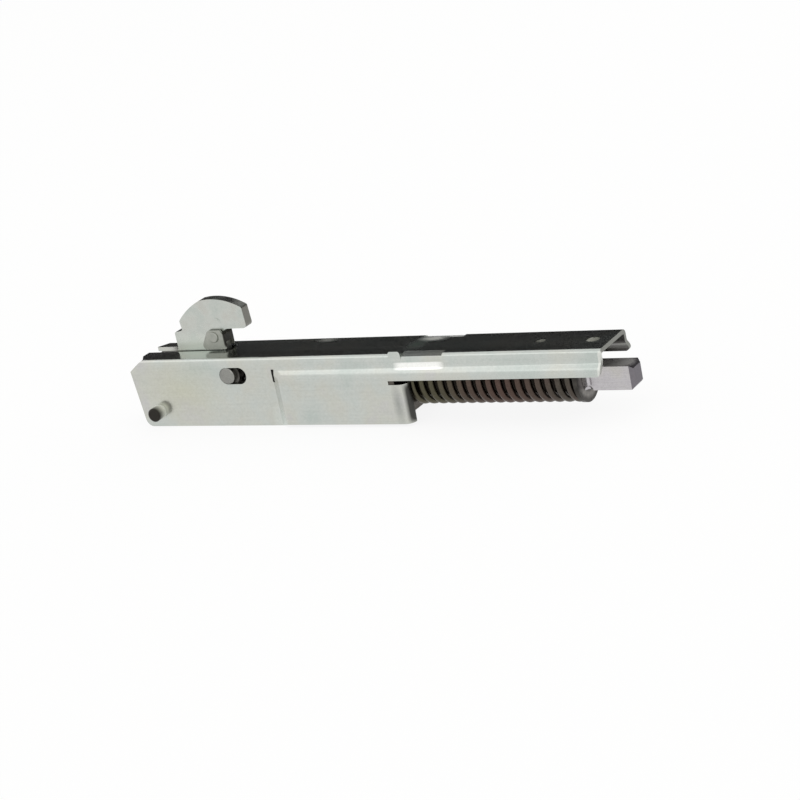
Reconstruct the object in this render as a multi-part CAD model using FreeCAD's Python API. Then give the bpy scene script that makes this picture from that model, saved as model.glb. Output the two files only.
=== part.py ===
import FreeCAD, Part
import math
import os

# Oven door hinge, millimetres. X runs along the channel with the claw at the low end, Z is up.
# The channel lies open side down on its front walls. The origin is under the middle of the whole hinge.

# Channel
channel_length = 185.0
channel_width = 21.0
channel_height = 24.7
sheet = 1.5
bend_radius = 2.0
least_bend = 0.3
end_slant = 2.2
corner_rise = 20.9
corner_run = 5.2
toe_radius = 3.0
web_front = 2.9
web_front_half = 5.0

# Outward step in the lower walls, which makes room for the spring. It draws the lower edges up a little
bulge_start = 60.0
bulge_run = 4.0
bulge_depth = 2.3
bulge_top = 20.6
bulge_lift = 1.0
step_ridge_radius = 3.0
step_valley_radius = 1.5
lance_gap = 1.2
lance_height = 4.5

# Tall walls end in lips turned inwards, and short walls carry on past them
tall_end = 113.5
short_bottom = 16.4
relief_gap = 1.4
relief_length = 6.4
lip_clearance = 0.85
lip_bend = 3.0
lip_bend_share = 0.95
lip_trim = 2.5

# Pressed flats along the top corners, and a lug beside the near one
flat_lead = 1.2
flat_length = 15.5
flat_drop = 0.8
flat_width = 4.0
lug_length = 4.6
lug_rise = 1.2

# Screw holes in the web, measured back from the open end
small_hole_back = 25.3
small_hole_radius = 1.6
large_hole_back = 6.6
large_hole_radius = 2.15

# Claw lever
lever_thickness = 4.0
web_slot_end = 38.3
web_slot_side = 0.8
web_slot_corner = 1.0
hub_radius = 4.2
neck_left = 15.6
neck_right = 35.8
neck_foot = 1.0
shoulder_rise = 7.1
shoulder_width = 3.6
notch_rise = 7.6
head_left = 18.7
head_left_rise = 11.2
brow_back = 6.8
head_rise = 18.4
cheek_bulge = 0.7
crown_bulge = 1.6
throat_gap = 7.8
throat_radius = 3.0
nose_reach = 11.0
nose_lean = 0.5
nose_radius = 1.4
nose_height = 7.6
flank_drop = 1.5
heel_run = 3.0
heel_drop = 5.5
heel_radius = 4.0
flank_radius = 3.0
crown_corner = 0.8
head_corner = 1.0
notch_corner = 0.8
shoulder_corner = 0.6
dimple_back = 1.5
dimple_rise = 2.4
dimple_radius = 1.9
dimple_depth = 0.3

# Main pivot
pivot_x = 9.0
pivot_z = 5.7
pivot_radius = 2.7
pivot_end_radius = 2.5
pivot_shoulder = 0.3
pivot_end_chamfer = 0.5
pivot_overhang = 4.5
pivot_washer_radius = 4.1

# Closing stop that stands in the long slots of the walls
stop_z = 18.5
stop_radius = 3.0
stop_proud = 0.2
stop_chamfer = 0.3
stop_slot_start = 38.2
stop_slot_length = 11.1
stop_roller_radius = 4.0
stop_collar_radius = 4.2
stop_collar_gap = 0.4

# Pull rod, its two links and their pins
bar_size = 8.0
bar_front = 75.0
bar_axis_z = 12.7
bar_overhang = 7.0
bar_chamfer = 1.1
link_thickness = 2.0
link_height = 4.8
link_eye_radius = 3.6
link_pin_radius = 2.0
link_head_radius = 3.2
link_head_height = 0.9
link_spacer_radius = 3.4
rivet_radius = 1.75
rivet_head_radius = 3.0
rivet_first = 5.0
rivet_spacing = 10.0
link_tail = 5.0
swing = 90.0
swing_steps = 90

# Compression spring and what holds it
wire = 2.5
coil_clearance = 0.6
coil_pitch = 3.62
seat_thickness = 2.0
seat_bottom = 2.0
washer_rim = 0.15
washer_thickness = 1.5
washer_back = 10.6
stake_radius = 1.5
stake_lug_length = 2.6
stake_lug_height = 5.0
stake_lug_drop = 1.0
stake_lug_rise = 1.1

# Locking clip on the claw
clip_sheet = 1.0
clip_lift = 0.7
clip_back = 0.2
clip_left = 26.6
clip_slant = 3.9
clip_height = 6.9
clip_cheek_slant = 1.2
clip_corner = 1.5
clip_bridge_rise = 2.4
clip_bridge_height = 2.7
clip_pin_x = 32.7
clip_pin_rise = 5.15
clip_pin_radius = 1.1
clip_head_radius = 2.0
clip_head_height = 0.5

# Clearances
running = 0.05
fixed = 0.03
side_gap = 0.3
travel_gap = 0.35

# Share of a small height or thickness that its corners are rounded by, and extra length of cutting shapes
round_share = 0.8
spare = 1.0
end_run = 5.0

# Sizes that follow from the ones above
overall_length = channel_length + bar_overhang
x_zero = -overall_length / 2
half_width = channel_width / 2
inner_half = half_width - sheet
web_under = channel_height - sheet
link_inner = bar_size / 2
link_outer = link_inner + link_thickness
lever_far = link_inner - side_gap
lever_near = lever_far - lever_thickness
lever_offset = (lever_near + lever_far) / 2
coil_inner_radius = bar_size * math.sqrt(2) / 2 + coil_clearance
coil_radius = coil_inner_radius + wire / 2
coil_outer_radius = coil_inner_radius + wire
washer_radius = coil_outer_radius + washer_rim
lip_depth = half_width + bulge_depth - coil_outer_radius - lip_clearance
lip_fold = min(lip_bend, lip_bend_share * lip_depth)
stop_x = stop_slot_start + stop_radius + fixed
link_rise = bar_axis_z - pivot_z
link_reach = link_rise * math.tan(math.radians(swing / 2))
link_x = pivot_x + link_reach
rod_stroke = 2 * link_reach
seat_back = tall_end - relief_length + fixed
seat_face = seat_back + seat_thickness
washer_face = channel_length - washer_back - washer_thickness


def at(x, y, z):
    return FreeCAD.Vector(x_zero + x, y, z)


def block(x0, x1, y0, y1, z0, z1):
    return Part.makeBox(x1 - x0, y1 - y0, z1 - z0, at(x0, y0, z0))


def rod_y(x, z, radius, y0, y1):
    return Part.makeCylinder(radius, y1 - y0, at(x, y0, z), FreeCAD.Vector(0, 1, 0))


def tube_y(x, z, outer, inner, y0, y1):
    return rod_y(x, z, outer, y0, y1).cut(rod_y(x, z, inner, y0 - spare, y1 + spare))


def slab(corners, y0, y1):
    points = [at(x, y0, z) for x, z in corners]
    wire_loop = Part.makePolygon(points + points[:1])
    return Part.Face(wire_loop).extrude(FreeCAD.Vector(0, y1 - y0, 0))


def section(corners, x0, x1):
    points = [at(x0, y, z) for y, z in corners]
    wire_loop = Part.makePolygon(points + points[:1])
    return Part.Face(wire_loop).extrude(FreeCAD.Vector(x1 - x0, 0, 0))


def plan(corners, z0, z1):
    points = [at(x, y, z0) for x, y in corners]
    wire_loop = Part.makePolygon(points + points[:1])
    return Part.Face(wire_loop).extrude(FreeCAD.Vector(0, 0, z1 - z0))


# Rounds the straight edges of a solid that pass through the given X and Z along Y
def round_across(solid, x, z, radius):
    found = []
    for edge in solid.Edges:
        ends = [v.Point for v in edge.Vertexes]
        if len(ends) == 2 and all(math.hypot(p.x - x_zero - x, p.z - z) < 1e-4 for p in ends):
            found.append(edge)
    return solid.makeFillet(radius, found)


# Rounds the upright edges of a solid at the given X and Y
def round_upright(solid, x, y, radius):
    found = []
    for edge in solid.Edges:
        ends = [v.Point for v in edge.Vertexes]
        if len(ends) == 2 and all(math.hypot(p.x - x_zero - x, p.y - y) < 1e-4 for p in ends):
            found.append(edge)
    return solid.makeFillet(radius, found)


# Point where a line from outside touches a circle, on its left or right side as seen from the point
def tangent_point(cx, cz, radius, x, z, left):
    away = math.hypot(x - cx, z - cz)
    heading = math.atan2(z - cz, x - cx)
    turn = math.acos(radius / away)
    angle = heading + turn if left else heading - turn
    return cx + radius * math.cos(angle), cz + radius * math.sin(angle)


# Middle of an arc between two points, which stands off the straight line to the left of the way along it
def bowed_middle(a, b, bulge):
    run = math.hypot(b[0] - a[0], b[1] - a[1])
    side_x, side_z = (a[1] - b[1]) / run, (b[0] - a[0]) / run
    return (a[0] + b[0]) / 2 + bulge * side_x, (a[1] + b[1]) / 2 + bulge * side_z


# Solid or hollow of the channel. Shrink is zero for the outside and one sheet for the inside
def channel_body(shrink, run_out):
    half = half_width - shrink
    top = channel_height - shrink
    end = channel_length + run_out
    low = -run_out
    upper = block(-run_out, end, -half, half, low, top)
    corner = max(bend_radius - shrink, least_bend)
    edges = []
    for edge in upper.Edges:
        ends = [v.Point for v in edge.Vertexes]
        along = abs(ends[0].x - ends[1].x) > channel_height
        if along and abs(ends[0].z - top) < 1e-6:
            edges.append(edge)
    upper = upper.makeFillet(corner, edges)
    start = bulge_start + shrink * math.tan(math.atan2(bulge_depth, bulge_run) / 2)
    step_top = bulge_top - shrink * math.tan(math.radians(45 / 2))
    ridge = max(step_ridge_radius - shrink, least_bend)
    body = upper.fuse(wall_bulge(half, start, end, low, step_top, ridge)).removeSplitter()
    valley = []
    for edge in body.Edges:
        middle = edge.CenterOfMass
        on_wall = all(abs(abs(v.Y) - half) < 1e-4 for v in edge.Vertexes)
        inside = start - spare < middle.x - x_zero < end - 1e-3 and low + 1e-3 < middle.z < step_top + 1e-3
        if on_wall and inside and abs(abs(middle.y) - half) < 1e-3:
            valley.append(edge)
    return body.makeFillet(step_valley_radius + shrink, valley)


# Outward step of both lower walls, 45 degrees at the top, with rounded ridges. It overlaps the channel
def wall_bulge(half, start, end, low, step_top, ridge):
    deep = half + bulge_depth
    inset = bulge_depth
    across = [(-deep, low), (-deep, step_top - bulge_depth), (inset - half, step_top + inset)]
    across += [(half - inset, step_top + inset), (deep, step_top - bulge_depth), (deep, low)]
    along = [(start - bulge_run, inset - half), (start + bulge_run, -deep), (end, -deep)]
    along += [(end, deep), (start + bulge_run, deep), (start - bulge_run, half - inset)]
    bulge = section(across, start - bulge_run, end).common(plan(along, low, step_top + inset))
    ridges = []
    for edge in bulge.Edges:
        middle = edge.CenterOfMass
        outside = abs(middle.y) > half - inset + 1e-3
        if outside and middle.x - x_zero < end - 1e-3 and middle.z > low + 1e-3:
            ridges.append(edge)
    return bulge.makeFillet(ridge, ridges)


# Side view of the walls: slanted front end, tall part and short part
def side_outline():
    corners = [(0, corner_rise), (corner_run, channel_height), (channel_length, channel_height)]
    corners += [(channel_length, short_bottom), (tall_end, short_bottom), (tall_end, bulge_lift)]
    corners += [(bulge_start + bulge_run, bulge_lift), (bulge_start, 0), (end_slant, 0)]
    outline = slab(corners, -channel_width, channel_width)
    outline = round_across(outline, end_slant, 0, toe_radius)
    return round_across(outline, channel_length, short_bottom, sheet)


# Lip turned inwards at the end of one tall wall
def end_lip(side):
    outer = half_width + bulge_depth
    inner = coil_outer_radius + lip_clearance
    top = short_bottom - relief_gap
    corners = [(outer, bulge_lift), (outer - lip_fold, bulge_lift), (inner, bulge_lift + lip_trim)]
    corners += [(inner, top), (outer, top)]
    return section([(side * y, z) for y, z in corners], tall_end - sheet, tall_end)


# Wedge that leaves a flat on one top corner, sloping down to the outside
def corner_flat(side):
    outer = half_width + spare
    inner = half_width - flat_width
    low = channel_height - flat_drop * (flat_width + spare) / flat_width
    high = channel_height + spare
    corners = [(outer, low), (outer, high), (inner, high), (inner, channel_height)]
    start = tall_end - flat_lead
    return section([(side * y, z) for y, z in corners], start, start + flat_length)


# Web's front edge, which stands further out between the corner cuts of the two bends
def web_nose():
    root = corner_run + spare
    flat = half_width - bend_radius
    corners = [(web_front, -web_front_half), (corner_run, -flat), (root, -flat)]
    corners += [(root, flat), (corner_run, flat), (web_front, web_front_half)]
    return plan(corners, web_under, channel_height)


# Single lug beside the flat in the near top corner
def corner_lug():
    end = tall_end - flat_lead
    top = channel_height + lug_rise
    lug = block(end - lug_length, end, -half_width, -inner_half, channel_height - bend_radius, top)
    lug = round_across(lug, end - lug_length, top, lug_rise * round_share)
    return round_across(lug, end, top, lug_rise * round_share)


def channel_housing():
    reach = half_width + bulge_depth + spare
    body = channel_body(0, 0).cut(channel_body(sheet, end_run))
    body = body.common(side_outline()).fuse(web_nose())
    relief_start, relief_end = tall_end - relief_length, tall_end + spare
    relief_low = short_bottom - relief_gap
    body = body.cut(block(relief_start, relief_end, -reach, reach, relief_low, short_bottom))
    for side in (-1, 1):
        body = body.fuse(end_lip(side)).removeSplitter()
        body = round_upright(body, tall_end, side * (half_width + bulge_depth), lip_fold)
        inner_fold = max(lip_fold - sheet, least_bend)
        body = round_upright(body, tall_end - sheet, side * (half_width + bulge_depth - sheet), inner_fold)
        body = body.cut(corner_flat(side))
        y0, y1 = sorted((side * (inner_half - side_gap), side * reach))
        lance_low = bulge_top - lance_height
        lance_end = bulge_start + lance_gap
        body = body.cut(block(bulge_start, lance_end, y0, y1, lance_low, bulge_top))
    body = body.fuse(corner_lug())
    slot_near = lever_near - web_slot_side
    slot_far = lever_far + web_slot_side
    web_slot = block(-spare, web_slot_end, slot_near, slot_far, web_under - spare, channel_height + spare)
    web_slot = round_upright(web_slot, web_slot_end, slot_near, web_slot_corner)
    web_slot = round_upright(web_slot, web_slot_end, slot_far, web_slot_corner)
    body = body.cut(web_slot)
    slot_half = stop_radius + fixed
    slot_end = stop_slot_start + stop_slot_length - slot_half
    stop_slot = rod_y(stop_x, stop_z, slot_half, -reach, reach)
    stop_slot = stop_slot.fuse(rod_y(slot_end, stop_z, slot_half, -reach, reach))
    slot_low, slot_high = stop_z - slot_half, stop_z + slot_half
    stop_slot = stop_slot.fuse(block(stop_x, slot_end, -reach, reach, slot_low, slot_high))
    body = body.cut(stop_slot)
    body = body.cut(rod_y(pivot_x, pivot_z, pivot_radius + fixed, -reach, reach))
    for back, radius in ((small_hole_back, small_hole_radius), (large_hole_back, large_hole_radius)):
        foot = at(channel_length - back, 0, web_under - sheet / 2)
        body = body.cut(Part.makeCylinder(radius, 2 * sheet, foot))
    return body.removeSplitter()


# Claw lever: hub on the pivot, broad neck through the web, hooked head with a nose over the web
def claw_lever():
    web = channel_height
    shoulder = (neck_left, web + shoulder_rise)
    notch = (neck_left + shoulder_width, web + notch_rise)
    head = (head_left, web + head_left_rise)
    brow = (neck_right - brow_back, web + head_rise)
    nose_x = neck_right + nose_reach
    under = web + throat_gap
    nose_top = (nose_x - nose_lean, under + nose_height)
    root = (neck_right, web - sheet)
    flank = (stop_x - stop_roller_radius - travel_gap, stop_z - flank_drop)
    heel = (flank[0] - heel_run, flank[1] - heel_drop)
    left_tangent = tangent_point(pivot_x, pivot_z, hub_radius, neck_left, web + neck_foot, True)
    heel_tangent = tangent_point(pivot_x, pivot_z, hub_radius, heel[0], heel[1], False)
    hub_low = math.radians(225)
    hub_mid = (pivot_x + hub_radius * math.cos(hub_low), pivot_z + hub_radius * math.sin(hub_low))
    cheek_mid = bowed_middle(head, brow, cheek_bulge)
    crown_mid = bowed_middle(brow, nose_top, crown_bulge)

    def flat(p):
        return at(p[0], lever_near, p[1])

    def line(a, b):
        return Part.LineSegment(flat(a), flat(b)).toShape()

    def arc(a, m, b):
        return Part.Arc(flat(a), flat(m), flat(b)).toShape()

    edges = [line(left_tangent, (neck_left, web + neck_foot)), line((neck_left, web + neck_foot), shoulder)]
    edges += [line(shoulder, notch), line(notch, head), arc(head, cheek_mid, brow)]
    edges += [arc(brow, crown_mid, nose_top), line(nose_top, (nose_x, under))]
    edges += [line((nose_x, under), (neck_right, under))]
    edges += [line((neck_right, under), root), line(root, flank)]
    edges += [line(flank, heel), line(heel, heel_tangent)]
    edges += [arc(heel_tangent, hub_mid, left_tangent)]
    blank = Part.Face(Part.Wire(edges)).extrude(FreeCAD.Vector(0, lever_thickness, 0))
    blank = round_across(blank, nose_x, under, nose_radius)
    blank = round_across(blank, nose_top[0], nose_top[1], crown_corner)
    blank = round_across(blank, neck_right, under, throat_radius)
    blank = round_across(blank, head[0], head[1], head_corner)
    blank = round_across(blank, notch[0], notch[1], notch_corner)
    blank = round_across(blank, shoulder[0], shoulder[1], shoulder_corner)
    blank = round_across(blank, flank[0], flank[1], flank_radius)
    blank = round_across(blank, heel[0], heel[1], heel_radius)
    wide = channel_width
    blank = blank.cut(rod_y(pivot_x, pivot_z, pivot_radius + running, -wide, wide))
    blank = blank.cut(link_slot())
    blank = blank.cut(rod_y(clip_pin_x, web + clip_pin_rise, clip_pin_radius + fixed, -wide, wide))
    ball = (dimple_radius ** 2 + dimple_depth ** 2) / (2 * dimple_depth)
    centre = at(neck_right - dimple_back, lever_near + dimple_depth - ball, under + dimple_rise)
    return blank.cut(Part.makeSphere(ball, centre))


# Slot in the lever for the link pin. Its width takes up what a straight pull differs from the turning lever
def link_slot():
    worst = 0.0
    for step in range(swing_steps + 1):
        share = step / swing_steps
        angle = math.radians(90 - swing / 2 + swing * share)
        along = link_reach * (1 - 2 * share)
        worst = max(worst, abs(link_rise * math.cos(angle) - along * math.sin(angle)))
    half = link_pin_radius + worst + side_gap
    start = link_rise + half - link_pin_radius - side_gap
    end = math.hypot(link_rise, link_reach) - half + link_pin_radius + side_gap
    tilt = math.radians(90 - swing / 2)
    x0, z0 = pivot_x + start * math.cos(tilt), pivot_z + start * math.sin(tilt)
    x1, z1 = pivot_x + end * math.cos(tilt), pivot_z + end * math.sin(tilt)
    side_x, side_z = half * math.sin(tilt), half * math.cos(tilt)
    middle = slab([(x0 - side_x, z0 + side_z), (x1 - side_x, z1 + side_z), (x1 + side_x, z1 - side_z),
                   (x0 + side_x, z0 - side_z)], -channel_width, channel_width)
    ends = rod_y(x0, z0, half, -channel_width, channel_width)
    ends = ends.fuse(rod_y(x1, z1, half, -channel_width, channel_width))
    return middle.fuse(ends)


# Pivot pin with a barrel through the walls and thinner ends that stand out of them
def pivot_pin():
    reach = half_width + pivot_overhang
    ends = rod_y(pivot_x, pivot_z, pivot_end_radius, -reach, reach)
    rims = [e for e in ends.Edges if isinstance(e.Curve, Part.Circle)]
    ends = ends.makeChamfer(pivot_end_chamfer, rims)
    barrel_reach = half_width + pivot_shoulder
    return ends.fuse(rod_y(pivot_x, pivot_z, pivot_radius, -barrel_reach, barrel_reach)).removeSplitter()


def pivot_washer(side):
    inner = link_outer + fixed + link_head_height + side_gap
    y0, y1 = sorted((side * inner, side * (inner_half - running)))
    return tube_y(pivot_x, pivot_z, pivot_washer_radius, pivot_radius + fixed, y0, y1)


def stop_pin():
    pin = rod_y(stop_x, stop_z, stop_radius, -half_width - stop_proud, half_width + stop_proud)
    rims = [e for e in pin.Edges if isinstance(e.Curve, Part.Circle)]
    return pin.makeChamfer(stop_chamfer, rims)


def stop_roller():
    reach = link_inner - side_gap
    return tube_y(stop_x, stop_z, stop_roller_radius, stop_radius + running, -reach, reach)


def stop_collar(side):
    y0, y1 = sorted((side * (link_outer + stop_collar_gap), side * (inner_half - running)))
    return tube_y(stop_x, stop_z, stop_collar_radius, stop_radius + fixed, y0, y1)


# Square pull bar with a tapered tail, two rivet holes, and lugs coined out of its sides to hold the washer
def tension_rod():
    half = bar_size / 2
    low, high = bar_axis_z - half, bar_axis_z + half
    bar = block(bar_front, overall_length, -half, half, low, high)
    tail = [e for e in bar.Edges if all(abs(v.X - x_zero - overall_length) < 1e-6 for v in e.Vertexes)]
    bar = bar.makeChamfer(bar_chamfer, tail)
    for x in (bar_front + rivet_first, bar_front + rivet_first + rivet_spacing):
        bar = bar.cut(rod_y(x, bar_axis_z, rivet_radius + fixed, -bar_size, bar_size))
    start = washer_face + washer_thickness + fixed
    for side in (-1, 1):
        lug_y = half + stake_lug_rise
        y0, y1 = sorted((0, side * lug_y))
        z0 = high - stake_lug_drop - stake_lug_height
        lug = block(start, start + stake_lug_length, y0, y1, z0, z0 + stake_lug_height)
        lug = round_upright(lug, start + stake_lug_length, side * lug_y, stake_lug_rise * round_share)
        bar = bar.fuse(lug)
        bar = bar.cut(Part.makeSphere(stake_radius, at(start + stake_radius, side * half, low)))
    return bar.removeSplitter()


# Flat tie link from the link pin to the bar, with a round eye at the lever end
def tie_link(side):
    y0, y1 = sorted((side * (link_inner + fixed), side * link_outer))
    tail = bar_front + rivet_first + rivet_spacing + link_tail
    half = link_height / 2
    strip = block(link_x, tail, y0, y1, bar_axis_z - half, bar_axis_z + half)
    strip = round_across(strip, tail, bar_axis_z - half, half * round_share)
    strip = round_across(strip, tail, bar_axis_z + half, half * round_share)
    strip = strip.fuse(rod_y(link_x, bar_axis_z, link_eye_radius, y0, y1))
    strip = strip.cut(rod_y(link_x, bar_axis_z, link_pin_radius + fixed, y0 - spare, y1 + spare))
    for x in (bar_front + rivet_first, bar_front + rivet_first + rivet_spacing):
        strip = strip.cut(rod_y(x, bar_axis_z, rivet_radius + fixed, y0 - spare, y1 + spare))
    return strip.removeSplitter()


# Rivet through both links with a low head on each side
def headed_pin(x, z, radius, head_radius, head_height, inner_reach):
    overlap = head_height / 2
    pin = rod_y(x, z, radius, -inner_reach - overlap, inner_reach + overlap)
    for side in (-1, 1):
        y0, y1 = sorted((side * inner_reach, side * (inner_reach + head_height)))
        head = rod_y(x, z, head_radius, y0, y1)
        outer = [e for e in head.Edges if abs(e.CenterOfMass.y - side * (inner_reach + head_height)) < 1e-6]
        pin = pin.fuse(head.makeFillet(head_height * round_share, outer))
    return pin.removeSplitter()


def link_pin():
    reach = link_outer + fixed
    return headed_pin(link_x, bar_axis_z, link_pin_radius, link_head_radius, link_head_height, reach)


def link_spacer():
    bore = link_pin_radius + fixed
    return tube_y(link_x, bar_axis_z, link_spacer_radius, bore, -link_inner, lever_near - side_gap)


def rod_rivet(place):
    x = bar_front + rivet_first + place * rivet_spacing
    return headed_pin(x, bar_axis_z, rivet_radius, rivet_head_radius, link_head_height, link_outer + fixed)


# Round-wire compression spring between the seat plate and the end washer
def main_spring():
    length = washer_face - seat_face - 2 * fixed
    turns = round((length - wire) / coil_pitch)
    rise = length - wire
    helix = Part.makeHelix(rise / turns, rise, coil_radius)
    circle = Part.Circle(FreeCAD.Vector(coil_radius, 0, 0), FreeCAD.Vector(0, 1, 0), wire / 2)
    profile = Part.Wire([circle.toShape()])
    coil = Part.Wire(helix.Edges).makePipeShell([profile], True, True)
    coil.rotate(FreeCAD.Vector(0, 0, 0), FreeCAD.Vector(0, 1, 0), 90)
    coil.translate(at(seat_face + fixed + wire / 2, 0, bar_axis_z))
    return Part.Solid(coil)


# Plate across the channel that the spring pushes on. Its ears stand in the relief cuts of the walls
def spring_seat_plate():
    reach = half_width + bulge_depth - sheet - side_gap
    ear = half_width + bulge_depth - side_gap
    upper = inner_half - side_gap
    ear_top = short_bottom - fixed
    ear_low = short_bottom - relief_gap + fixed
    top = web_under - 2 * side_gap
    right = [(reach, seat_bottom), (reach, ear_low), (ear, ear_low)]
    right += [(ear, ear_top), (upper, ear_top), (upper, top)]
    left = [(-y, z) for y, z in reversed(right)]
    plate = section(right + left, seat_back, seat_face)
    half = bar_size / 2 + side_gap
    low, high = bar_axis_z - half, bar_axis_z + half
    return plate.cut(block(seat_back - spare, seat_face + spare, -half, half, low, high))


def spring_end_washer():
    axis = FreeCAD.Vector(1, 0, 0)
    disc = Part.makeCylinder(washer_radius, washer_thickness, at(washer_face, 0, bar_axis_z), axis)
    half = bar_size / 2 + running
    low, high = bar_axis_z - half, bar_axis_z + half
    end = washer_face + washer_thickness
    return disc.cut(block(washer_face - spare, end + spare, -half, half, low, high))


# U-shaped clip around the root of the claw, on the side of its throat
def lock_clip():
    low = channel_height + clip_lift
    high = low + clip_height
    right = neck_right + clip_back + clip_sheet
    bridge_low = low + clip_bridge_rise
    bridge_top = bridge_low + clip_bridge_height
    near_in, far_in = lever_near - side_gap, lever_far + side_gap
    near_out, far_out = near_in - clip_sheet, far_in + clip_sheet
    cheek = [(clip_left, low), (right, low), (right, bridge_top)]
    cheek += [(right - clip_cheek_slant, high), (clip_left + clip_slant, high)]
    body = slab(cheek, near_out, near_in).fuse(slab(cheek, far_in, far_out))
    bridge = block(right - clip_sheet, right, near_out, far_out, bridge_low, bridge_top)
    body = body.fuse(bridge).removeSplitter()
    body = round_upright(body, right, near_out, clip_sheet * round_share)
    body = round_upright(body, right, far_out, clip_sheet * round_share)
    body = round_across(body, clip_left, low, clip_corner)
    body = round_across(body, clip_left + clip_slant, high, clip_corner)
    rise = channel_height + clip_pin_rise
    return body.cut(rod_y(clip_pin_x, rise, clip_pin_radius + fixed, -channel_width, channel_width))


def clip_pin():
    rise = channel_height + clip_pin_rise
    reach = lever_thickness / 2 + side_gap + clip_sheet + fixed
    pin = headed_pin(clip_pin_x, rise, clip_pin_radius, clip_head_radius, clip_head_height, reach)
    pin.translate(FreeCAD.Vector(0, lever_offset, 0))
    return pin


pieces = {
    "channel_housing": channel_housing(),
    "claw_lever": claw_lever(),
    "pivot_pin": pivot_pin(),
    "pivot_washer_near": pivot_washer(-1),
    "pivot_washer_far": pivot_washer(1),
    "stop_pin": stop_pin(),
    "stop_roller": stop_roller(),
    "stop_collar_near": stop_collar(-1),
    "stop_collar_far": stop_collar(1),
    "tension_rod": tension_rod(),
    "tie_link_near": tie_link(-1),
    "tie_link_far": tie_link(1),
    "link_pin": link_pin(),
    "link_spacer": link_spacer(),
    "rod_rivet_front": rod_rivet(0),
    "rod_rivet_rear": rod_rivet(1),
    "main_spring": main_spring(),
    "spring_seat_plate": spring_seat_plate(),
    "spring_end_washer": spring_end_washer(),
    "lock_clip": lock_clip(),
    "clip_pin": clip_pin(),
}

os.makedirs("parts", exist_ok=True)
for name, piece in pieces.items():
    shape = piece.Solids[0]
    shape.exportStep("parts/" + name + ".step")
    box = shape.BoundBox
    print(name, shape.ShapeType, len(shape.Solids), shape.isValid(), round(shape.Volume, 1), "mm3",
          [round(v, 2) for v in (box.XMin, box.XMax, box.YMin, box.YMax, box.ZMin, box.ZMax)])
print("rod stroke", round(rod_stroke, 3), "mm over", swing, "degrees")
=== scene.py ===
import math
import bpy
import bmesh
from mathutils import Matrix, Vector


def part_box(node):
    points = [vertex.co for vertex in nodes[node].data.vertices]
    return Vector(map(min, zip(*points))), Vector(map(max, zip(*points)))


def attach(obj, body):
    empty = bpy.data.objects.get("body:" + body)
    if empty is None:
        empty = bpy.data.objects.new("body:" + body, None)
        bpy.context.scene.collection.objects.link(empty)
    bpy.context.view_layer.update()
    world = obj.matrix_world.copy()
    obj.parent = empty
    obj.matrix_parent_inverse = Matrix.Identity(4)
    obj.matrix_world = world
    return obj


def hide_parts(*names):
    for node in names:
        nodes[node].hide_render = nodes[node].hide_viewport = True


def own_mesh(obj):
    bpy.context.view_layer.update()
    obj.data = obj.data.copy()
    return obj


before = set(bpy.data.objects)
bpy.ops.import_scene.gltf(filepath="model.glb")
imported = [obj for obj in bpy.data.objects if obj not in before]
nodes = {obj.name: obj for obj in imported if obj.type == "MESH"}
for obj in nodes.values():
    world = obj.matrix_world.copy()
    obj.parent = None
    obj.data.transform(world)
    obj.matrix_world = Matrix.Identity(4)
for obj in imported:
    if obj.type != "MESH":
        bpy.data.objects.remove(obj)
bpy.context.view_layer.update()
scene = bpy.context.scene
scene.view_settings.view_transform = "Standard"
mm = 0.001


def toLinear(code):  # sRGB hex to the linear colour that sockets take
    parts = [int(code[i:i + 2], 16) / 255 for i in (1, 3, 5)]
    return [p / 12.92 if p <= 0.04045 else ((p + 0.055) / 1.055) ** 2.4 for p in parts] + [1.0]


def addNode(tree, kind, settings, feeds=None):  # one node, its settings, and what is plugged into it
    node = tree.nodes.new(kind)
    for key, value in settings.items():
        if key == "stops":  # places and hex colours along a colour ramp
            while len(node.color_ramp.elements) < len(value):
                node.color_ramp.elements.new(0.5)
            for element, (place, colour) in zip(node.color_ramp.elements, value):
                element.position = place
                element.color = toLinear(colour)
        elif isinstance(key, int) or key in node.inputs:
            node.inputs[key].default_value = value
        else:
            setattr(node, key, value)
    for key, output in (feeds or {}).items():
        tree.links.new(output, node.inputs[key])
    return node


marking = {
    "squareOff": (4, 4, 4),  # fourth powers square a boxed mark's ellipsoid off
    "facing": (0.35, 0.75),  # how squarely a face looks the mark's way, from no mark to full mark
    "inward": (-7.5, -8.5)}  # the same for walls that look at the middle, times their distance from it in mm


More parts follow.
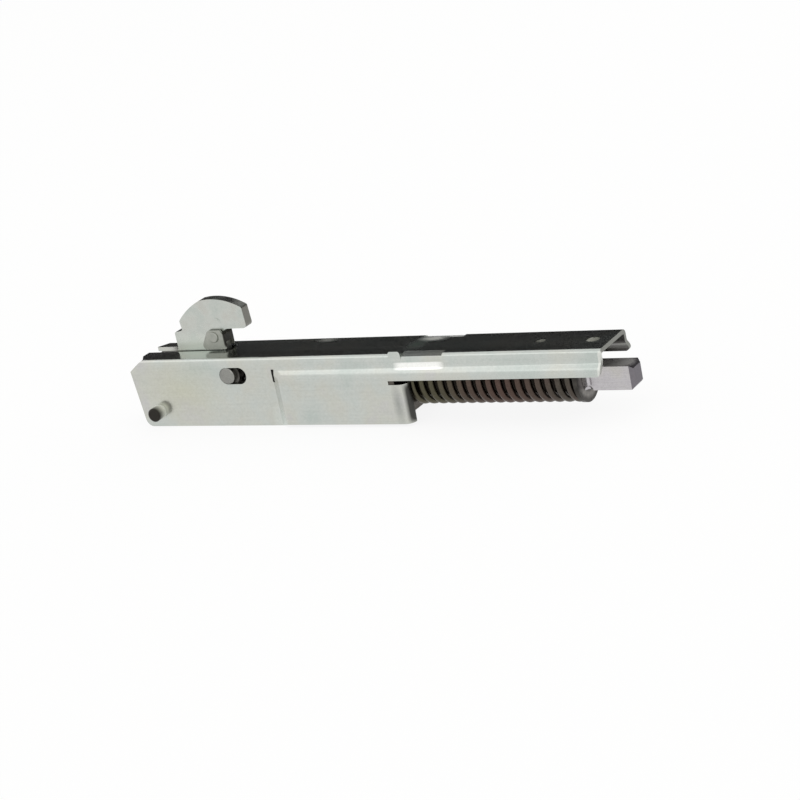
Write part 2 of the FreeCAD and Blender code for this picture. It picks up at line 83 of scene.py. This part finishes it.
# How far a surface point belongs to a local mark: inside its ellipsoid (at and half are in mm), on the side
# it faces, fading over its edge, and eaten into by the smears where it is ragged
def markShare(tree, mark, inMm, normal, smear):
    offset = addNode(tree, "ShaderNodeVectorMath", {"operation": "SUBTRACT", 1: mark["at"]}, {0: inMm})
    scaled = addNode(tree, "ShaderNodeVectorMath", {"operation": "DIVIDE", 1: mark["half"]},
                     {0: offset.outputs[0]})
    if mark.get("boxed"):
        unsigned = addNode(tree, "ShaderNodeVectorMath", {"operation": "ABSOLUTE"}, {0: scaled.outputs[0]})
        scaled = addNode(tree, "ShaderNodeVectorMath", {"operation": "POWER", 1: marking["squareOff"]},
                         {0: unsigned.outputs[0]})
    away = addNode(tree, "ShaderNodeVectorMath", {"operation": "LENGTH"}, {0: scaled.outputs[0]})
    torn = addNode(tree, "ShaderNodeMath", {"operation": "MULTIPLY_ADD", 1: mark.get("ragged", 0.0)},
                   {0: smear, 2: away.outputs["Value"]})
    share = addNode(tree, "ShaderNodeMapRange", {
        "From Min": 1.0, "From Max": 1.0 - mark["edge"], "To Min": 0.0, "To Max": mark.get("amount", 1.0)},
        {"Value": torn.outputs[0]})
    if "facing" not in mark:
        return share.outputs[0]
    if mark["facing"] == "inward":  # the side of a wall that looks at the middle of the channel
        across = addNode(tree, "ShaderNodeVectorMath", {"operation": "MULTIPLY", 1: (0, 1, 0)}, {0: inMm})
        turn = addNode(tree, "ShaderNodeVectorMath", {"operation": "DOT_PRODUCT"},
                       {0: normal, 1: across.outputs[0]})
        none, full = marking["inward"]
    else:
        turn = addNode(tree, "ShaderNodeVectorMath", {"operation": "DOT_PRODUCT", 1: mark["facing"]},
                       {0: normal})
        none, full = marking["facing"]
    side = addNode(tree, "ShaderNodeMapRange", {"From Min": none, "From Max": full},
                   {"Value": turn.outputs["Value"]})
    both = addNode(tree, "ShaderNodeMath", {"operation": "MULTIPLY"},
                   {0: share.outputs[0], 1: side.outputs[0]})
    return both.outputs[0]


skin = {
    "grain": (0.3, 0.7),  # span of the noise that mottling and lines use
    "smear": (0.35, 0.65),  # span of the noise that the gloss uses
    "bumpMm": 0.02}  # height of mottling and lines
alongSheet = (0.03, 1.0, 1.0)  # rolled lines, drawn out along x
alongBar = (0.04, 1.0, 1.0)  # drawn lines, the same way
allWays = (1.0, 1.0, 1.0)  # lines that run no one way


# Steel with a plated, oiled or scaled skin. The eye gets broad clouds of tint, fine mottling, drawn or rolled
# lines, smears that change the gloss, local marks where the part was rubbed, cut or left greasy, and local
# marks of painted shade, highlight and reflection. Plating grain and drawn lines are really about 0.05 mm
# wide: mottleMm and lineMm are coarser, so that they show.
def skinnedSteel(name, look):
    material = bpy.data.materials.new(name)
    material.use_nodes = True
    tree = material.node_tree
    shader = tree.nodes["Principled BSDF"]
    shader.inputs["Metallic"].default_value = 1.0
    place = addNode(tree, "ShaderNodeTexCoord", {})
    surface = addNode(tree, "ShaderNodeNewGeometry", {})
    inMm = addNode(tree, "ShaderNodeVectorMath", {"operation": "SCALE", "Scale": 1 / mm},
                   {0: place.outputs["Object"]}).outputs[0]
    cloud = addNode(tree, "ShaderNodeTexNoise", {"Scale": 1 / look["cloudMm"], "Detail": 3.0},
                    {"Vector": inMm})
    tint = addNode(tree, "ShaderNodeValToRGB", {"stops": look["tints"]}, {"Fac": cloud.outputs["Fac"]})
    mottle = addNode(tree, "ShaderNodeTexNoise", {"Scale": 1 / look["mottleMm"], "Detail": 2.0},
                     {"Vector": inMm})
    mottleShade = addNode(tree, "ShaderNodeMapRange", {
        "From Min": skin["grain"][0], "From Max": skin["grain"][1],
        "To Min": 1 - look["mottle"], "To Max": 1 + look["mottle"]}, {"Value": mottle.outputs["Fac"]})
    stretch = addNode(tree, "ShaderNodeVectorMath", {"operation": "MULTIPLY", 1: look["lineDir"]}, {0: inMm})
    lines = addNode(tree, "ShaderNodeTexNoise", {"Scale": 1 / look["lineMm"], "Detail": 2.0},
                    {"Vector": stretch.outputs[0]})
    lineShade = addNode(tree, "ShaderNodeMapRange", {
        "From Min": skin["grain"][0], "From Max": skin["grain"][1],
        "To Min": 1 - look["lines"], "To Max": 1 + look["lines"]}, {"Value": lines.outputs["Fac"]})
    shade = addNode(tree, "ShaderNodeMath", {"operation": "MULTIPLY"},
                    {0: mottleShade.outputs[0], 1: lineShade.outputs[0]})
    smear = addNode(tree, "ShaderNodeTexNoise", {
        "Scale": 1 / look["smearMm"], "Detail": 4.0, "Roughness": 0.6}, {"Vector": stretch.outputs[0]})
    rough = addNode(tree, "ShaderNodeMapRange", {
        "From Min": skin["smear"][0], "From Max": skin["smear"][1],
        "To Min": look["rough"][0], "To Max": look["rough"][1]}, {"Value": smear.outputs["Fac"]})
    colour = tint.outputs[0]
    gloss = rough.outputs[0]
    for mark in look.get("marks", []):  # a mix's sockets 6 and 7 are its colours, 2 and 3 its numbers
        share = markShare(tree, mark, inMm, surface.outputs["Normal"], smear.outputs["Fac"])
        colour = addNode(tree, "ShaderNodeMix", {"data_type": "RGBA", 7: toLinear(mark["tint"])},
                         {0: share, 6: colour}).outputs[2]
        gloss = addNode(tree, "ShaderNodeMix", {"data_type": "FLOAT", 3: mark["rough"]},
                        {0: share, 2: gloss}).outputs[0]
    colour = addNode(tree, "ShaderNodeVectorMath", {"operation": "SCALE"},
                     {0: colour, "Scale": shade.outputs[0]})
    tree.links.new(colour.outputs[0], shader.inputs["Base Color"])
    tree.links.new(gloss, shader.inputs["Roughness"])
    height = addNode(tree, "ShaderNodeMath", {"operation": "ADD"},
                     {0: mottle.outputs["Fac"], 1: lines.outputs["Fac"]})
    bump = addNode(tree, "ShaderNodeBump", {"Strength": look["bump"], "Distance": skin["bumpMm"] * mm},
                   {"Height": height.outputs[0]})
    tree.links.new(bump.outputs[0], shader.inputs["Normal"])
    return material


# Bright zinc on cold-rolled sheet: cool grey with faint yellow, green and blue clouds, rolled lines along the
# channel, painted shade inside the fold, painted highlights and dark reflections in places, and wiped oil on
# the web
zincSheet = skinnedSteel("zincPlatedSheet", {
    "tints": [(0.3, "#BAC1BC"), (0.43, "#C2C6C1"), (0.57, "#C4C5BD"), (0.7, "#C1C0C0")],
    "cloudMm": 16.0, "mottleMm": 0.9, "mottle": 0.03, "lineMm": 0.6, "lineDir": alongSheet, "lines": 0.02,
    "smearMm": 9.0, "rough": (0.17, 0.27), "bump": 0.12,
    "marks": [
        {"at": (-3.5, 0, 10), "half": (130, 40, 40), "edge": 0.2, "facing": "inward",
         "tint": "#6E6D6A", "rough": 0.4},  # painted shade on the inner faces of the walls
        {"at": (-3.5, 0, 10), "half": (130, 40, 40), "edge": 0.2, "facing": (0, 0, -1),
         "tint": "#5E5D5A", "rough": 0.4},  # painted shade on the underside of the web
        {"at": (-75.0, -10.5, 14.0), "half": (22, 2, 14), "edge": 0.9, "ragged": 0.2,
         "tint": "#C2C2B2", "rough": 0.24, "amount": 0.9},  # yellow cloud at the claw end
        {"at": (89.0, 0, 20), "half": (1.2, 30, 30), "edge": 0.3, "facing": (1, 0, 0),
         "tint": "#8F908A", "rough": 0.5},  # painted dark reflection on the cut edge at the tail end
        {"at": (89.0, -11.4, 18.9), "half": (0.9, 2.6, 5.5), "edge": 0.4, "boxed": True,
         "tint": "#D6D8D2", "rough": 0.3},  # painted highlight on its near part
        {"at": (-36.0, -11.7, 2.0), "half": (5.0, 2.0, 9.0), "edge": 0.6, "facing": (-0.5, -0.87, 0),
         "tint": "#CBD1CB", "rough": 0.3},  # painted light on the lower part of the step's front slope, softening its dark line
        {"at": (63.7, 0, 23.6), "half": (2.2, 2.2, 0.95), "edge": 0.3, "boxed": True,
         "tint": "#ACACA4", "rough": 0.7},  # painted light on the wall of the small hole, as if lit through it
        {"at": (82.4, 0, 23.6), "half": (2.8, 2.8, 0.95), "edge": 0.3, "boxed": True,
         "tint": "#BABAB2", "rough": 0.8},  # painted light on the wall of the large hole, as if lit through it
        {"at": (17.5, 0.0, 24.7), "half": (7.0, 10.0, 1.2), "edge": 0.7, "ragged": 0.6, "facing": (0, 0, 1),
         "tint": "#66786D", "rough": 0.4, "amount": 0.9},  # oil smear on the web
        {"at": (21.0, 5.6, 24.6), "half": (8.0, 4.0, 1.4), "edge": 0.6, "ragged": 0.3, "facing": (0, 0, 1),
         "tint": "#D4D4CE", "rough": 0.6, "amount": 0.9},  # painted highlight on the far pressed flat beside it
        {"at": (-22.1, 7.0, 24.7), "half": (7.0, 3.2, 1.2), "edge": 0.6, "ragged": 0.5, "facing": (0, 0, 1),
         "tint": "#B4B4AC", "rough": 0.48, "amount": 0.9},  # duller wiped patch nearer the claw
        {"at": (22.7, -10.7, 20.9), "half": (9.8, 1.6, 1.3), "edge": 0.75, "boxed": True,
         "tint": "#F8F8F4", "rough": 0.2},  # painted highlight on the step under the near pressed flat
        {"at": (13.4, -12.8, 8.0), "half": (2.4, 1.2, 9.0), "edge": 0.95,
         "tint": "#A2A49F", "rough": 0.25},  # shade where the tall wall turns in
        {"at": (16.6, 0, 8.0), "half": (2.2, 14, 7.5), "edge": 0.5, "facing": (1, 0, 0), "boxed": True,
         "tint": "#4A4A47", "rough": 0.4}]})  # painted dark reflection on the outer face of the turned-in lips
# The same plating on thick blanked plate, duller, with a dark torn band on its sheared edges
zincPlate = skinnedSteel("zincPlatedBlank", {
    "tints": [(0.3, "#B9BFB9"), (0.5, "#C2C5BF"), (0.7, "#BFBEB7")],
    "cloudMm": 7.0, "mottleMm": 1.1, "mottle": 0.02, "lineMm": 0.7, "lineDir": allWays, "lines": 0.01,
    "smearMm": 5.0, "rough": (0.2, 0.3), "bump": 0.1,
    "marks": [
        {"at": (-55.0, 1.7, 34.2), "half": (14, 6, 14), "edge": 0.3, "facing": (1, 0, 0),
         "tint": "#86857F", "rough": 0.42},  # sheared edge of the nose
        {"at": (-72.0, -0.3, 25.0), "half": (16, 3, 7), "edge": 0.8, "facing": (0, -1, 0),
         "tint": "#D2D8CF", "rough": 0.3}]})  # cleaner neck
# Zinc on thin spring sheet for the clip, greyer from handling
zincClip = skinnedSteel("zincPlatedSpringSheet", {
    "tints": [(0.3, "#9DA098"), (0.7, "#ABACA4")],
    "cloudMm": 3.0, "mottleMm": 0.7, "mottle": 0.06, "lineMm": 0.5, "lineDir": allWays, "lines": 0.03,
    "smearMm": 2.5, "rough": (0.3, 0.42), "bump": 0.25,
    "marks": [
        {"at": (-59.0, 1.7, 29.2), "half": (1.2, 6, 4), "edge": 0.2, "facing": (1, 0, 0),
         "tint": "#3C3B37", "rough": 0.5}]})  # painted shade on the face in the throat
# Zinc on cold-drawn square bar, pinkish grey, with painted shade where the spring covers it and a painted
# dark reflection on its sawn end
zincBar = skinnedSteel("zincPlatedDrawnBar", {
    "tints": [(0.3, "#B4B0B3"), (0.5, "#BDBABC"), (0.7, "#BFBCB8")],
    "cloudMm": 9.0, "mottleMm": 0.8, "mottle": 0.05, "lineMm": 0.5, "lineDir": alongBar, "lines": 0.05,
    "smearMm": 6.0, "rough": (0.2, 0.32), "bump": 0.2,
    "marks": [
        {"at": (29.0, 0, 12.7), "half": (48.5, 30, 30), "edge": 0.06,
         "tint": "#3C3833", "rough": 0.45},  # painted shade inside the spring
        {"at": (96.0, 0, 12.7), "half": (3, 9, 9), "edge": 0.2, "facing": (1, 0, 0),
         "tint": "#6E6A70", "rough": 0.4},  # painted dark reflection on the sawn end
        {"at": (88.0, 0, 16.7), "half": (9, 6, 1.4), "edge": 0.3, "facing": (0, 0, 1),
         "tint": "#BDBBB9", "rough": 0.5}]})  # dull top of the tail
# Plain washer, zinc rubbed dull by the spring, darker along its rim and around the bar
zincWasher = skinnedSteel("rubbedZincWasher", {
    "tints": [(0.3, "#3C3A37"), (0.7, "#4C4945")],
    "cloudMm": 3.0, "mottleMm": 0.9, "mottle": 0.16, "lineMm": 0.5, "lineDir": allWays, "lines": 0.05,
    "smearMm": 2.0, "rough": (0.32, 0.48), "bump": 0.3,
    "marks": [
        {"at": (78.4, 0, 12.7), "half": (1.0, 8.4, 8.4), "edge": 0.15, "ragged": 0.1,
         "tint": "#7A7773", "rough": 0.4},  # rubbed ring
        {"at": (78.4, 0, 12.7), "half": (1.4, 6.4, 6.4), "edge": 0.2, "ragged": 0.2,
         "tint": "#3A3836", "rough": 0.45}]})  # darker ring around the bar
# Zinc on the turned stop pin, rivets and washers, dim grey from handling
zincPin = skinnedSteel("zincPlatedTurnedPin", {
    "tints": [(0.3, "#898A86"), (0.7, "#969590")],
    "cloudMm": 4.0, "mottleMm": 0.6, "mottle": 0.06, "lineMm": 0.5, "lineDir": allWays, "lines": 0.03,
    "smearMm": 3.0, "rough": (0.24, 0.36), "bump": 0.2})
# Dull zinc on the pivot, pale and nearly matt, with dark unplated ends where it was cut off
zincPivot = skinnedSteel("dullZincPivot", {
    "tints": [(0.3, "#E0E2DC"), (0.7, "#E6E6DE")],
    "cloudMm": 4.0, "mottleMm": 0.6, "mottle": 0.04, "lineMm": 0.5, "lineDir": allWays, "lines": 0.02,
    "smearMm": 3.0, "rough": (0.5, 0.6), "bump": 0.15,
    "marks": [
        {"at": (-87.0, -15.2, 5.7), "half": (14, 3.6, 14), "edge": 0.75,
         "tint": "#35332F", "rough": 0.45},  # near end
        {"at": (-87.0, 15.2, 5.7), "half": (14, 3.6, 14), "edge": 0.75,
         "tint": "#35332F", "rough": 0.45}]})  # far end
# Bare turned steel under oil: dark grey with a broken shine
darkPin = skinnedSteel("oiledBareSteelPin", {
    "tints": [(0.3, "#565553"), (0.7, "#696661")],
    "cloudMm": 3.0, "mottleMm": 0.6, "mottle": 0.1, "lineMm": 0.5, "lineDir": allWays, "lines": 0.05,
    "smearMm": 3.0, "rough": (0.28, 0.42), "bump": 0.3})
# Plate blackened by heat and oil: a warm dark grey with a dull shine
darkPlate = skinnedSteel("blackenedSteelPlate", {
    "tints": [(0.3, "#504D48"), (0.7, "#5E5953")],
    "cloudMm": 5.0, "mottleMm": 0.7, "mottle": 0.1, "lineMm": 0.5, "lineDir": allWays, "lines": 0.05,
    "smearMm": 4.0, "rough": (0.3, 0.45), "bump": 0.3})
# Oil-tempered wire: brown-black scale with olive and reddish tints, and a soft oily shine
springWire = skinnedSteel("oilTemperedWire", {
    "tints": [(0.3, "#4C4942"), (0.5, "#524D46"), (0.7, "#554B46")],
    "cloudMm": 8.0, "mottleMm": 0.5, "mottle": 0.12, "lineMm": 0.4, "lineDir": allWays, "lines": 0.06,
    "smearMm": 3.0, "rough": (0.3, 0.42), "bump": 0.25,
    "marks": [
        {"at": (22.0, 0, 12.7), "half": (20, 30, 30), "edge": 0.8,
         "tint": "#585640", "rough": 0.36, "amount": 0.6},  # olive by the seat plate
        {"at": (50.0, 0, 12.7), "half": (24, 30, 30), "edge": 0.8,
         "tint": "#5C443E", "rough": 0.36, "amount": 0.6}]})  # reddish in the middle
print("materials made:", len(bpy.data.materials))

finishes = {
    "channel_housing": zincSheet, "claw_lever": zincPlate, "lock_clip": zincClip, "clip_pin": zincClip,
    "pivot_pin": zincPivot, "pivot_washer_near": zincPin, "pivot_washer_far": zincPin, "stop_pin": zincPin,
    "stop_roller": darkPin, "stop_collar_near": darkPin, "stop_collar_far": darkPin, "tension_rod": zincBar,
    "tie_link_near": zincBar, "tie_link_far": zincBar, "link_pin": darkPin, "link_spacer": zincPin,
    "rod_rivet_front": zincPin, "rod_rivet_rear": zincPin, "spring_seat_plate": darkPlate,
    "spring_end_washer": zincWasher}
for name, material in finishes.items():
    nodes[name].data.materials.clear()
    nodes[name].data.materials.append(material)
print("finishes given:", len(finishes))

spring = {
    "wire": 2.5, "shortensBy": 14.0,  # mm
    "turns": 17, "stepsPerTurn": 48, "sides": 16}


def makeSpring():  # round wire wound at an even pitch, its ends cut square
    low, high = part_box("main_spring")
    wire = spring["wire"] * mm
    coilRadius = (high.z - low.z) / 2 - wire / 2
    axisZ = (high.z + low.z) / 2
    length = high.x - low.x
    count = spring["turns"] * spring["stepsPerTurn"]
    sides = spring["sides"]
    mesh = bpy.data.meshes.new("main_spring_coil")
    shape = bmesh.new()
    rings = []
    for i in range(count + 1):
        x = low.x + wire / 2 + (length - wire) * i / count
        angle = 2 * math.pi * i / spring["stepsPerTurn"]
        outward = Vector((0, math.sin(angle), -math.cos(angle)))
        centre = Vector((x, 0, axisZ)) + outward * coilRadius
        ring = []
        for k in range(sides):
            around = 2 * math.pi * k / sides
            along = Vector((wire / 2 * math.sin(around), 0, 0))
            ring.append(shape.verts.new(centre + outward * (wire / 2 * math.cos(around)) + along))
        rings.append(ring)
    for ring, nextRing in zip(rings, rings[1:]):
        for k in range(sides):
            n = (k + 1) % sides
            shape.faces.new((ring[k], ring[n], nextRing[n], nextRing[k]))
    shape.faces.new(rings[0][::-1])
    shape.faces.new(rings[-1])
    bmesh.ops.recalc_face_normals(shape, faces=shape.faces)
    for face in shape.faces:
        face.smooth = len(face.verts) == 4  # the two cut ends stay flat
    shape.to_mesh(mesh)
    shape.free()
    coil = bpy.data.objects.new("main_spring_coil", mesh)
    scene.collection.objects.link(coil)
    mesh.materials.append(springWire)
    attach(coil, "housing")
    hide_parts("main_spring")
    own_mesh(coil)


makeSpring()
print("spring wound")

stage = {
    "white": "#FFFFFF", "skyForFloor": 0.95,  # strength of the sky as light
    "floor": "#F4F4F2", "floorSize": 14.0, "floorGlow": 0.88,  # m, and the share of plain white that is seen
    "card": "#0E0E0F", "cardRough": 0.9, "cardHalf": 0.8, "cardTop": 0.42,  # half its width and its height, m
    "cardSide": -0.25, "cardBack": 0.38, "cardLift": 0.01}  # where it stands, m


def seenDirectly(tree):  # 1 for rays from the camera, off metal and through glass, 0 for light on the object
    path = addNode(tree, "ShaderNodeLightPath", {})
    seen = path.outputs["Is Camera Ray"]
    for ray in ("Is Glossy Ray", "Is Transmission Ray"):
        either = addNode(tree, "ShaderNodeMath", {"operation": "MAXIMUM"}, {0: seen, 1: path.outputs[ray]})
        seen = either.outputs[0]
    return seen


def makeStage():
    world = bpy.data.worlds.new("softWhite")
    scene.world = world
    world.use_nodes = True
    tree = world.node_tree
    tree.nodes.clear()
    seen = seenDirectly(tree)
    white = toLinear(stage["white"])
    lit = addNode(tree, "ShaderNodeBackground", {"Color": white, "Strength": stage["skyForFloor"]})
    plain = addNode(tree, "ShaderNodeBackground", {"Color": white, "Strength": 1.0})
    both = addNode(tree, "ShaderNodeMixShader", {}, {0: seen, 1: lit.outputs[0], 2: plain.outputs[0]})
    addNode(tree, "ShaderNodeOutputWorld", {}, {"Surface": both.outputs[0]})

    bpy.ops.mesh.primitive_plane_add(size=stage["floorSize"])
    floor = bpy.context.object
    floor.name = "floor"
    paint = bpy.data.materials.new("paleFloor")  # matt white paper that keeps a faint shadow
    paint.use_nodes = True
    tree = paint.node_tree
    tree.nodes.clear()
    seen = seenDirectly(tree)
    share = addNode(tree, "ShaderNodeMath", {"operation": "MULTIPLY", 1: stage["floorGlow"]}, {0: seen})
    matte = addNode(tree, "ShaderNodeBsdfDiffuse", {"Color": toLinear(stage["floor"])})
    glow = addNode(tree, "ShaderNodeEmission", {"Color": white, "Strength": 1.0})
    both = addNode(tree, "ShaderNodeMixShader", {},
                   {0: share.outputs[0], 1: matte.outputs[0], 2: glow.outputs[0]})
    addNode(tree, "ShaderNodeOutputMaterial", {}, {"Surface": both.outputs[0]})
    floor.data.materials.append(paint)

    # dark card behind the hinge, which only the metal sees: it gives the top faces their black mirror
    bpy.ops.mesh.primitive_plane_add(size=2.0)
    card = bpy.context.object
    card.name = "darkCard"
    card.scale = (stage["cardHalf"], stage["cardTop"] / 2, 1)
    card.rotation_euler = (math.radians(90), 0, 0)
    card.location = (stage["cardSide"], stage["cardBack"], stage["cardTop"] / 2 + stage["cardLift"])
    black = bpy.data.materials.new("blackCard")  # black felt, no shine
    black.use_nodes = True
    felt = black.node_tree.nodes["Principled BSDF"]
    felt.inputs["Base Color"].default_value = toLinear(stage["card"])
    felt.inputs["Roughness"].default_value = stage["cardRough"]
    card.data.materials.append(black)
    card.visible_camera = False
    card.visible_diffuse = False
    card.visible_shadow = False
    card.visible_transmission = False


lamps = {  # place, width and depth in m, and W
    "key": ((-0.90, -0.55, 1.43), 1.6, 0.35, 0.9),
    "fill": ((0.9, -0.5, 0.9), 1.2, 1.2, 1.4),
    "back": ((0.2, 0.9, 1.0), 1.0, 1.0, 0.8)}
lampAim = (0, 0, 0.02)  # middle of the hinge


def makeLamps():
    for name, (place, width, depth, power) in lamps.items():
        data = bpy.data.lights.new(name, "AREA")
        data.shape = "RECTANGLE"
        data.size = width
        data.size_y = depth
        data.energy = power
        lamp = bpy.data.objects.new(name, data)
        lamp.location = place
        lamp.rotation_euler = (Vector(lampAim) - Vector(place)).to_track_quat("-Z", "Y").to_euler()
        scene.collection.objects.link(lamp)


makeStage()
makeLamps()
print("stage and lamps set")

view = {
    "azimuth": 32.157, "elevation": 18.005, "roll": 11.759,  # degrees
    "lens": 100.109, "sensor": 36.0, "away": 755.27, "nearClip": 10.0, "aim": (6.618, -0.48, 4.952)}  # mm


def makeCamera():
    around, lift, tilt = (math.radians(view[k]) for k in ("azimuth", "elevation", "roll"))
    right = Vector((math.cos(around), math.sin(around), 0))
    up = Vector((-math.sin(around) * math.sin(lift), math.cos(around) * math.sin(lift), math.cos(lift)))
    into = Vector((-math.sin(around) * math.cos(lift), math.cos(around) * math.cos(lift), -math.sin(lift)))
    side = math.cos(tilt) * right - math.sin(tilt) * up
    head = math.sin(tilt) * right + math.cos(tilt) * up
    eye = (Vector(view["aim"]) - into * view["away"]) * mm
    data = bpy.data.cameras.new("photoCamera")
    data.lens = view["lens"]
    data.sensor_width = view["sensor"]
    data.clip_start = view["nearClip"] * mm
    camera = bpy.data.objects.new("photoCamera", data)
    turn = Matrix((side, head, -into)).transposed()
    camera.matrix_world = Matrix.Translation(eye) @ turn.to_4x4()
    scene.collection.objects.link(camera)
    scene.camera = camera


makeCamera()
print("camera placed")
